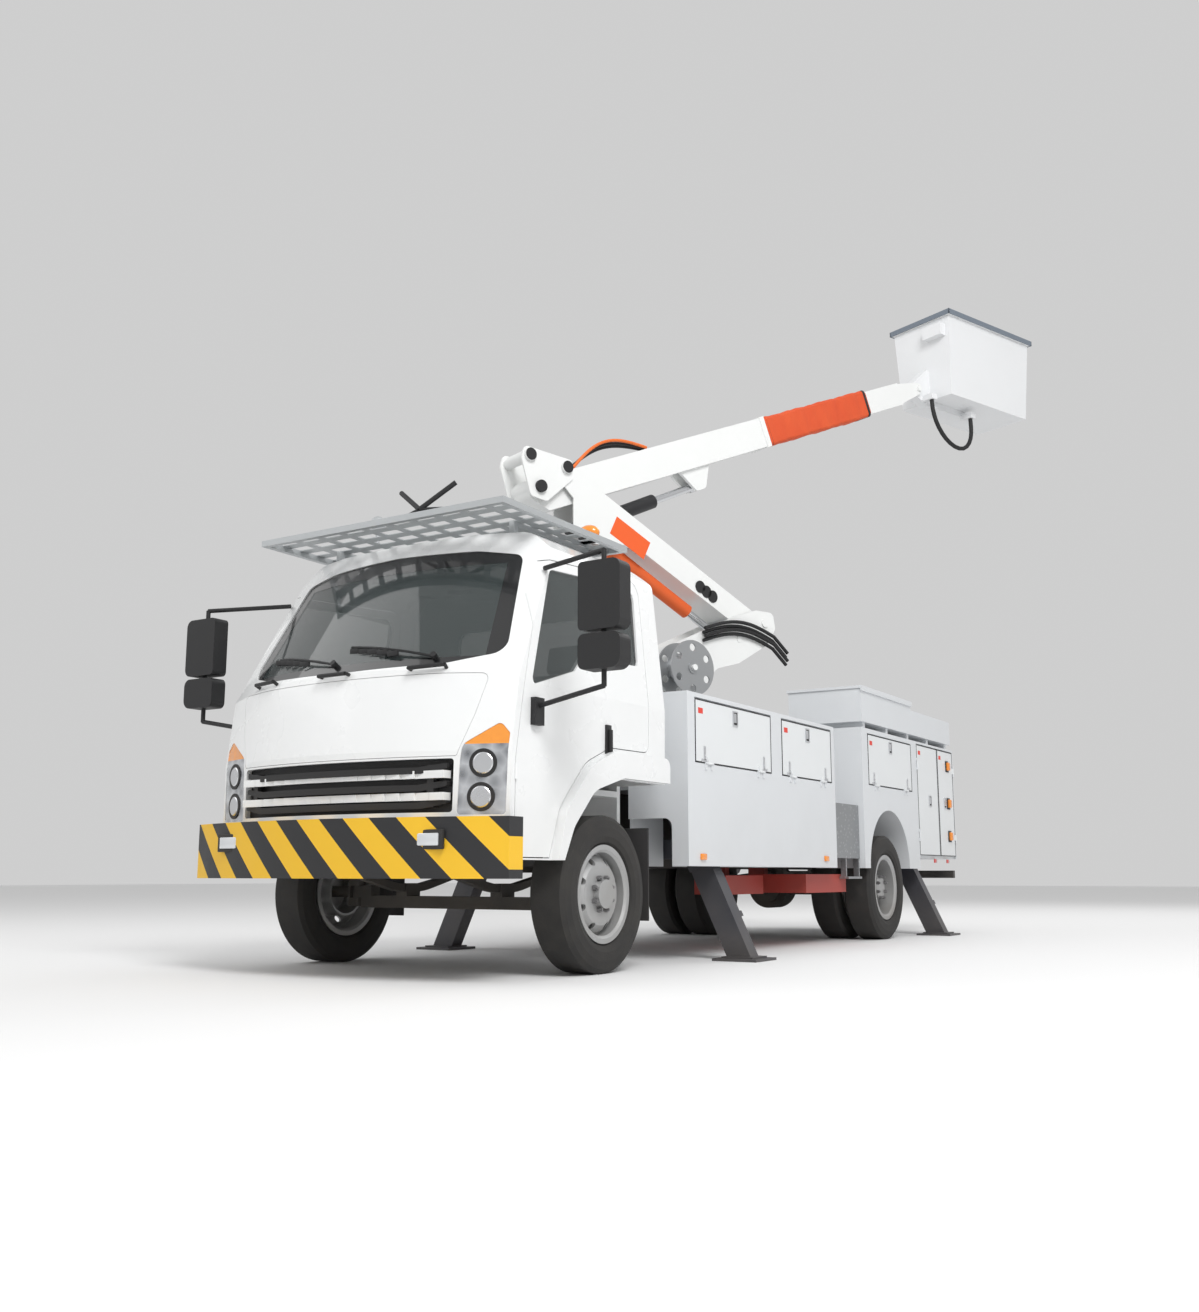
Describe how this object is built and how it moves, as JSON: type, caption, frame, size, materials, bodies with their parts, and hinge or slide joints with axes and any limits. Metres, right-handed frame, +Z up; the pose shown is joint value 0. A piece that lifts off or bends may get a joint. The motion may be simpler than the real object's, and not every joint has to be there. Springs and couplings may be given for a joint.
{
  "type": "cherry picker truck",
  "caption": "Forward-control truck with tool lockers, outriggers and a slewing turret that carries a folding, telescoping boom with a work bucket",
  "frame": {"origin": "on the ground, at the middle of the box round the whole parked model", "axes": "-Y towards the front of the truck, +X towards its left side, +Z up"},
  "size_m": [4.04, 9.0026, 6.5265],
  "materials": {
    "cab_paint": "gloss",
    "locker_paint": "satin",
    "boom_paint": "gloss",
    "frame_black": "satin",
    "leg_paint": "satin",
    "platform_metal": "satin",
    "tread_plate": "gloss",
    "tyre": "matte",
    "rim_paint": "gloss",
    "glass": "gloss",
    "lamp_glass": "gloss",
    "black_plastic": "matte",
    "grille_plastic": "gloss",
    "bumper_paint": "gloss",
    "dark_trim": "matte",
    "seat_fabric": "matte",
    "cast_metal": "matte",
    "reel_metal": "satin",
    "cylinder_black": "gloss",
    "orange_paint": "satin",
    "chrome": "gloss",
    "sleeve_fabric": "matte",
    "bucket_shell": "satin",
    "hose_rubber": "matte",
    "red_paint": "gloss"
  },
  "bodies": {
    "chassis": {"chassis_frame": "frame_black", "axles": "cast_metal", "engine_block": "cast_metal", "underbody_tanks": "red_paint", "cab_shell": "cab_paint", "front_panel": "cab_paint", "grille": "grille_plastic", "headlamps": "lamp_glass", "front_bumper": "bumper_paint", "cab_glass": "glass", "dashboard": "dark_trim", "seats": "seat_fabric", "roof_platform": "platform_metal", "lockers": "locker_paint", "top_box": "locker_paint", "deck": "tread_plate", "outrigger_tubes": "leg_paint"},
    "left_knuckle": {"left_knuckle": "cast_metal"},
    "front_left_wheel": {"front_left_tyre": "tyre", "front_left_rim": "rim_paint"},
    "rear_left_wheels": {"rear_left_tyres": "tyre", "rear_left_rims": "rim_paint"},
    "right_knuckle": {"right_knuckle": "cast_metal"},
    "front_right_wheel": {"front_right_tyre": "tyre", "front_right_rim": "rim_paint"},
    "rear_right_wheels": {"rear_right_tyres": "tyre", "rear_right_rims": "rim_paint"},
    "left_cab_door": {"left_door": "cab_paint", "left_door_glass": "glass", "left_mirrors": "black_plastic"},
    "right_cab_door": {"right_door": "cab_paint", "right_door_glass": "glass", "right_mirrors": "black_plastic"},
    "left_locker_door_1": {"left_door_1": "locker_paint"},
    "left_locker_door_2": {"left_door_2": "locker_paint"},
    "left_locker_door_3": {"left_door_3": "locker_paint"},
    "left_locker_door_4": {"left_door_4": "locker_paint"},
    "left_locker_door_5": {"left_door_5": "locker_paint"},
    "right_locker_door_1": {"right_door_1": "locker_paint"},
    "right_locker_door_2": {"right_door_2": "locker_paint"},
    "right_locker_door_3": {"right_door_3": "locker_paint"},
    "right_locker_door_4": {"right_door_4": "locker_paint"},
    "right_locker_door_5": {"right_door_5": "locker_paint"},
    "top_box_lid": {"top_box_lid": "locker_paint"},
    "front_left_leg": {"front_left_leg": "leg_paint"},
    "front_right_leg": {"front_right_leg": "leg_paint"},
    "rear_left_leg": {"rear_left_leg": "leg_paint"},
    "rear_right_leg": {"rear_right_leg": "leg_paint"},
    "turret": {"turret": "boom_paint"},
    "hose_reel": {"hose_reel": "reel_metal"},
    "lower_boom": {"lower_boom": "boom_paint"},
    "lower_lift_barrel": {"lower_lift_barrel": "orange_paint"},
    "lower_lift_rod": {"lower_lift_rod": "chrome"},
    "upper_boom": {"upper_boom": "boom_paint"},
    "upper_lift_barrel": {"upper_lift_barrel": "cylinder_black"},
    "upper_lift_rod": {"upper_lift_rod": "chrome"},
    "inner_boom": {"inner_boom": "boom_paint", "boom_sleeve": "sleeve_fabric"},
    "bucket": {"bucket": "bucket_shell", "bucket_hose": "hose_rubber"}
  },
  "joints": [
    {"name": "steer_left", "type": "hinge", "parent": "chassis", "child": "left_knuckle", "pos_m": [0.59998, -3.17129, 0.48], "axis": [0, 0, 1], "range_deg": [-35, 35]},
    {"name": "front_left_wheel_spin", "type": "hinge", "parent": "left_knuckle", "child": "front_left_wheel", "pos_m": [0.81498, -3.17129, 0.48], "axis": [1, 0, 0], "continuous": true},
    {"name": "rear_left_wheels_spin", "type": "hinge", "parent": "chassis", "child": "rear_left_wheels", "pos_m": [0.81198, 1.87871, 0.48], "axis": [1, 0, 0], "continuous": true},
    {"name": "steer_right", "type": "hinge", "parent": "chassis", "child": "right_knuckle", "pos_m": [-1.08002, -3.17129, 0.48], "axis": [0, 0, 1], "range_deg": [-35, 35]},
    {"name": "front_right_wheel_spin", "type": "hinge", "parent": "right_knuckle", "child": "front_right_wheel", "pos_m": [-1.29502, -3.17129, 0.48], "axis": [1, 0, 0], "continuous": true},
    {"name": "rear_right_wheels_spin", "type": "hinge", "parent": "chassis", "child": "rear_right_wheels", "pos_m": [-1.29202, 1.87871, 0.48], "axis": [1, 0, 0], "continuous": true},
    {"name": "left_cab_door_hinge", "type": "hinge", "parent": "chassis", "child": "left_cab_door", "pos_m": [0.91998, -4.09829, 1.5], "axis": [0, 0, -1], "range_deg": [0, 70]},
    {"name": "right_cab_door_hinge", "type": "hinge", "parent": "chassis", "child": "right_cab_door", "pos_m": [-1.40002, -4.09829, 1.5], "axis": [0, 0, 1], "range_deg": [0, 70]},
    {"name": "left_locker_door_1_hinge", "type": "hinge", "parent": "chassis", "child": "left_locker_door_1", "pos_m": [0.96828, -1.36879, 1.377], "axis": [0, 1, 0], "range_deg": [0, 90]},
    {"name": "left_locker_door_2_hinge", "type": "hinge", "parent": "chassis", "child": "left_locker_door_2", "pos_m": [0.96828, -0.00379, 1.377], "axis": [0, 1, 0], "range_deg": [0, 90]},
    {"name": "left_locker_door_3_hinge", "type": "hinge", "parent": "chassis", "child": "left_locker_door_3", "pos_m": [0.96828, 2.03871, 1.417], "axis": [0, 1, 0], "range_deg": [0, 90]},
    {"name": "left_locker_door_4_hinge", "type": "hinge", "parent": "chassis", "child": "left_locker_door_4", "pos_m": [0.96828, 2.82571, 1.3], "axis": [0, 0, -1], "range_deg": [0, 90]},
    {"name": "left_locker_door_5_hinge", "type": "hinge", "parent": "chassis", "child": "left_locker_door_5", "pos_m": [0.96828, 4.03171, 1.3], "axis": [0, 0, 1], "range_deg": [0, 90]},
    {"name": "right_locker_door_1_hinge", "type": "hinge", "parent": "chassis", "child": "right_locker_door_1", "pos_m": [-1.44832, -1.36879, 1.377], "axis": [0, -1, 0], "range_deg": [0, 90]},
    {"name": "right_locker_door_2_hinge", "type": "hinge", "parent": "chassis", "child": "right_locker_door_2", "pos_m": [-1.44832, -0.00379, 1.377], "axis": [0, -1, 0], "range_deg": [0, 90]},
    {"name": "right_locker_door_3_hinge", "type": "hinge", "parent": "chassis", "child": "right_locker_door_3", "pos_m": [-1.44832, 2.03871, 1.417], "axis": [0, -1, 0], "range_deg": [0, 90]},
    {"name": "right_locker_door_4_hinge", "type": "hinge", "parent": "chassis", "child": "right_locker_door_4", "pos_m": [-1.44832, 2.82571, 1.3], "axis": [0, 0, 1], "range_deg": [0, 90]},
    {"name": "right_locker_door_5_hinge", "type": "hinge", "parent": "chassis", "child": "right_locker_door_5", "pos_m": [-1.44832, 4.03171, 1.3], "axis": [0, 0, -1], "range_deg": [0, 90]},
    {"name": "top_box_lid_hinge", "type": "hinge", "parent": "chassis", "child": "top_box_lid", "pos_m": [0.20498, 1.87871, 2.3103], "axis": [0, -1, 0], "range_deg": [0, 80]},
    {"name": "front_left_leg_slide", "type": "slide", "parent": "chassis", "child": "front_left_leg", "axis": [-0.4226, 0, 0.9063], "range_m": [0, 0.34]},
    {"name": "front_right_leg_slide", "type": "slide", "parent": "chassis", "child": "front_right_leg", "axis": [0.4226, 0, 0.9063], "range_m": [0, 0.34]},
    {"name": "rear_left_leg_slide", "type": "slide", "parent": "chassis", "child": "rear_left_leg", "axis": [-0.4226, 0, 0.9063], "range_m": [0, 0.34]},
    {"name": "rear_right_leg_slide", "type": "slide", "parent": "chassis", "child": "rear_right_leg", "axis": [0.4226, 0, 0.9063], "range_m": [0, 0.34]},
    {"name": "turret_slew", "type": "hinge", "parent": "chassis", "child": "turret", "pos_m": [-0.24002, -0.57129, 1.94], "axis": [0, 0, 1], "range_deg": [-180, 180]},
    {"name": "hose_reel_spin", "type": "hinge", "parent": "turret", "child": "hose_reel", "pos_m": [0.15418, -0.63263, 2.289], "axis": [0.9336, -0.3584, 0], "continuous": true},
    {"name": "lower_boom_lift", "type": "hinge", "parent": "turret", "child": "lower_boom", "pos_m": [0.1954, 0.56301, 2.845], "axis": [-0.9336, 0.3584, 0], "range_deg": [0, 60]},
    {"name": "lower_lift_barrel_pivot", "type": "hinge", "parent": "lower_boom", "child": "lower_lift_barrel", "pos_m": [-0.40652, -1.00505, 3.32946], "axis": [0.9336, -0.3584, 0], "range_deg": [-30, 30]},
    {"name": "lower_lift_rod_slide", "type": "slide", "parent": "lower_lift_barrel", "child": "lower_lift_rod", "axis": [0.3217, 0.8382, -0.4404], "range_m": [-0.05, 0.4]},
    {"name": "upper_boom_lift", "type": "hinge", "parent": "lower_boom", "child": "upper_boom", "pos_m": [-0.68497, -1.73044, 3.68046], "axis": [0.9336, -0.3584, 0], "range_deg": [-15, 62]},
    {"name": "upper_lift_barrel_pivot", "type": "hinge", "parent": "lower_boom", "child": "upper_lift_barrel", "pos_m": [-0.52658, -1.3178, 3.42046], "axis": [0.9336, -0.3584, 0], "range_deg": [-40, 85]},
    {"name": "upper_lift_rod_slide", "type": "slide", "parent": "upper_lift_barrel", "child": "upper_lift_rod", "axis": [0.3241, 0.8443, 0.4268], "range_m": [-0.15, 0.55]},
    {"name": "telescope", "type": "slide", "parent": "upper_boom", "child": "inner_boom", "axis": [0.3299, 0.8594, 0.3907], "range_m": [0, 2]},
    {"name": "bucket_level", "type": "hinge", "parent": "inner_boom", "child": "bucket", "pos_m": [1.07249, 2.8479, 5.6915], "axis": [0.9336, -0.3584, 0], "range_deg": [-60, 60]}
  ],
  "couplings": [
    {"joint": "steer_right", "follows": "steer_left", "ratio": 1},
    {"joint": "upper_lift_rod_slide", "follows": "upper_boom_lift", "m_per_rad": 0.4862},
    {"joint": "upper_lift_barrel_pivot", "follows": "upper_boom_lift", "ratio": 1.0533},
    {"joint": "lower_lift_rod_slide", "follows": "lower_boom_lift", "m_per_rad": 0.348},
    {"joint": "lower_lift_barrel_pivot", "follows": "lower_boom_lift", "ratio": -0.0375}
  ]
}
